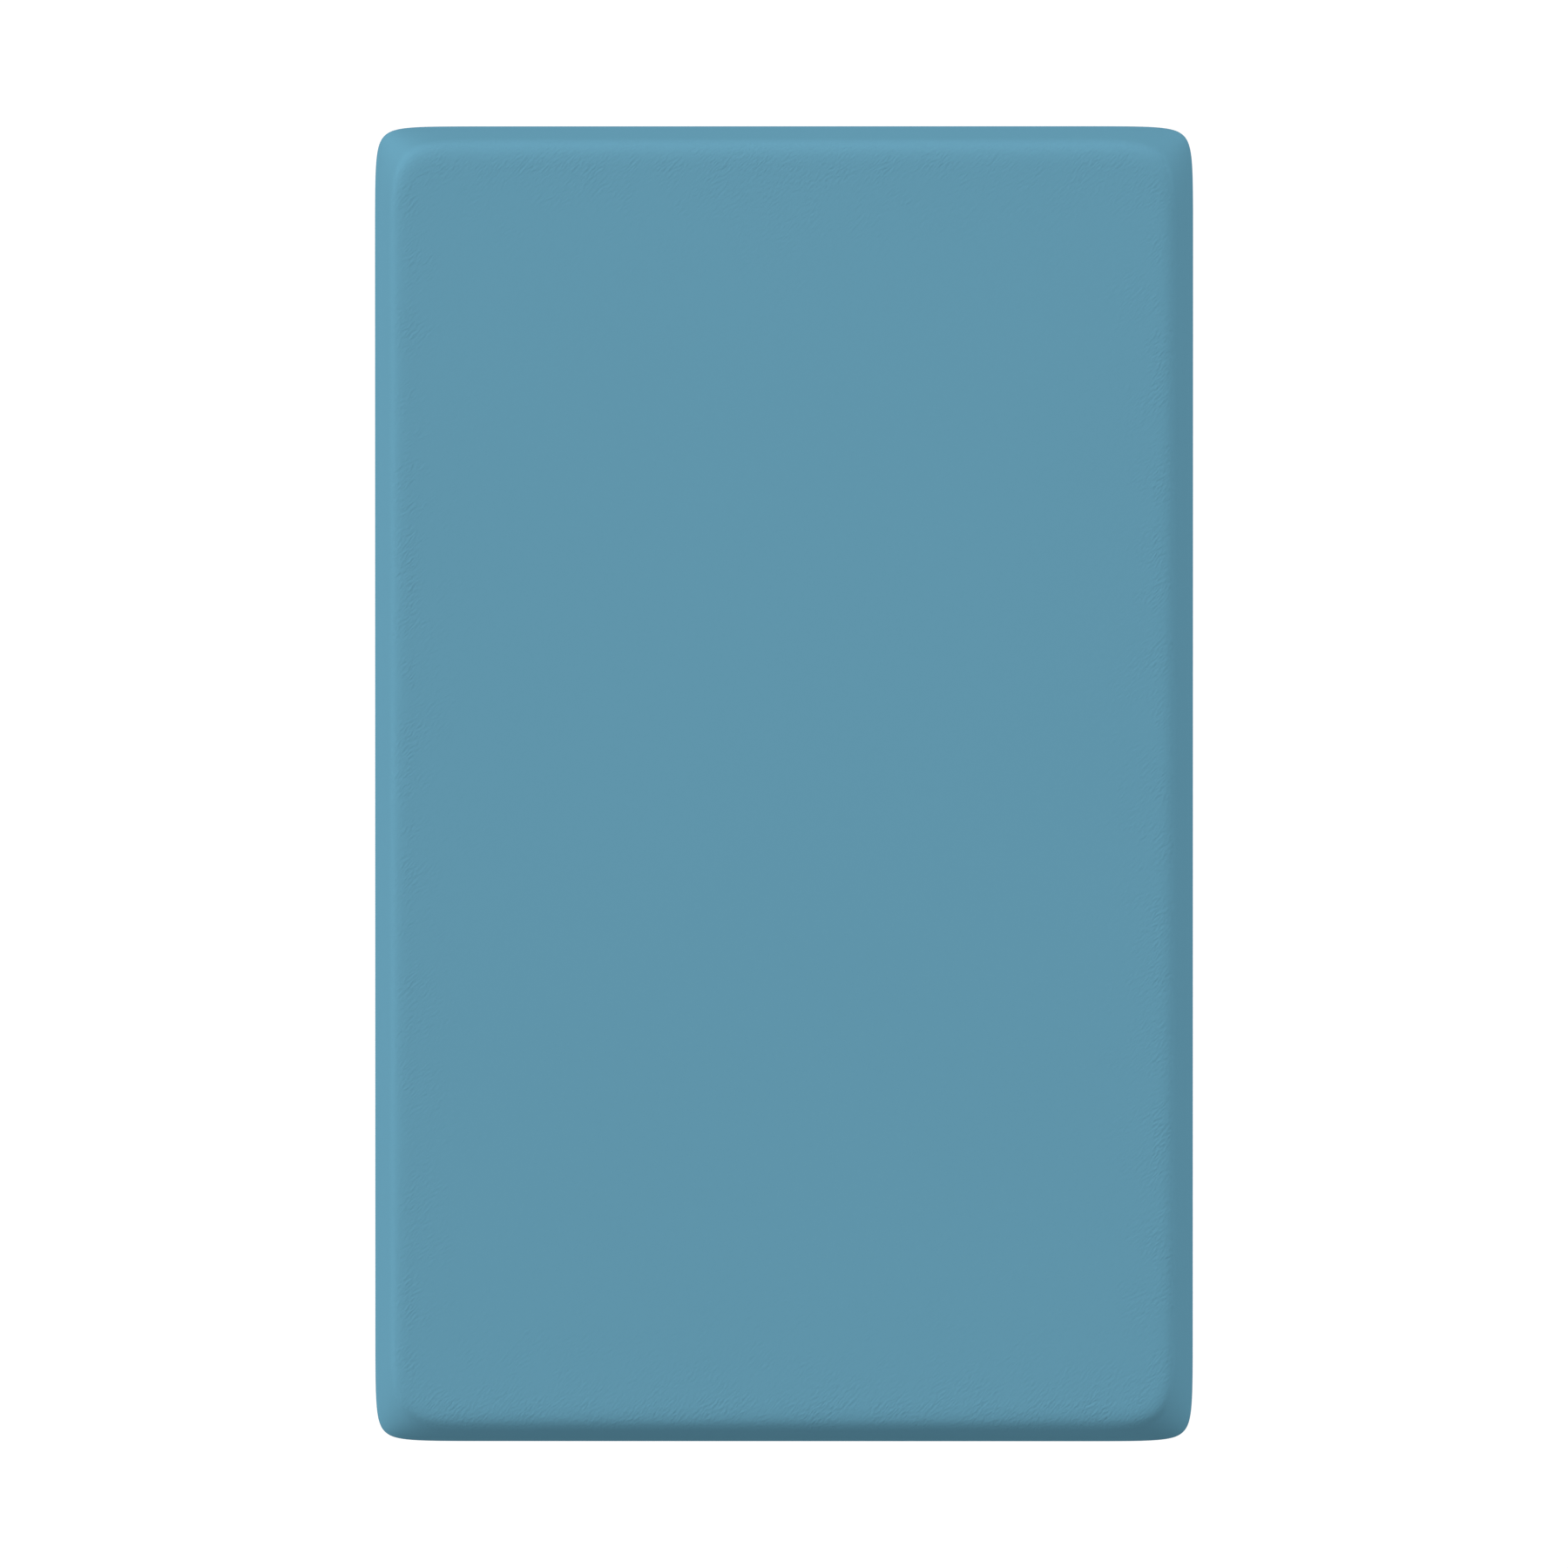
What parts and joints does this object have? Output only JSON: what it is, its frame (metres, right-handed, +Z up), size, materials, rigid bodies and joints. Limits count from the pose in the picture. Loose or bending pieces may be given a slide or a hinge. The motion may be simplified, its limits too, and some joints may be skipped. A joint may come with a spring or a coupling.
{
  "type": "chalkboard eraser",
  "caption": "Hand-held chalkboard eraser: a drafted, round-edged plastic back over a foam cushion, a backing board and a wiping pad of felt strips standing on edge.",
  "frame": {"origin": "middle of the wiping face, on the surface that the eraser stands on", "axes": "X across the width, Y along the length, +Z up from the felt to the top of the back"},
  "size_m": [0.07, 0.1124, 0.03],
  "materials": {
    "blue_plastic": "matte",
    "grey_foam": "matte",
    "hardboard": "matte",
    "charcoal_felt": "matte",
    "waxed_cotton": "matte"
  },
  "bodies": {
    "root": {"back_shell": "blue_plastic", "foam_cushion": "grey_foam", "backing_board": "hardboard", "felt_strip_01": "charcoal_felt", "felt_strip_02": "charcoal_felt", "felt_strip_03": "charcoal_felt", "felt_strip_04": "charcoal_felt", "felt_strip_05": "charcoal_felt", "felt_strip_06": "charcoal_felt", "felt_strip_07": "charcoal_felt", "felt_strip_08": "charcoal_felt", "felt_strip_09": "charcoal_felt", "felt_strip_10": "charcoal_felt", "felt_strip_11": "charcoal_felt", "binding_thread_1": "waxed_cotton", "binding_thread_2": "waxed_cotton", "binding_thread_3": "waxed_cotton", "binding_thread_4": "waxed_cotton"}
  },
  "joints": []
}
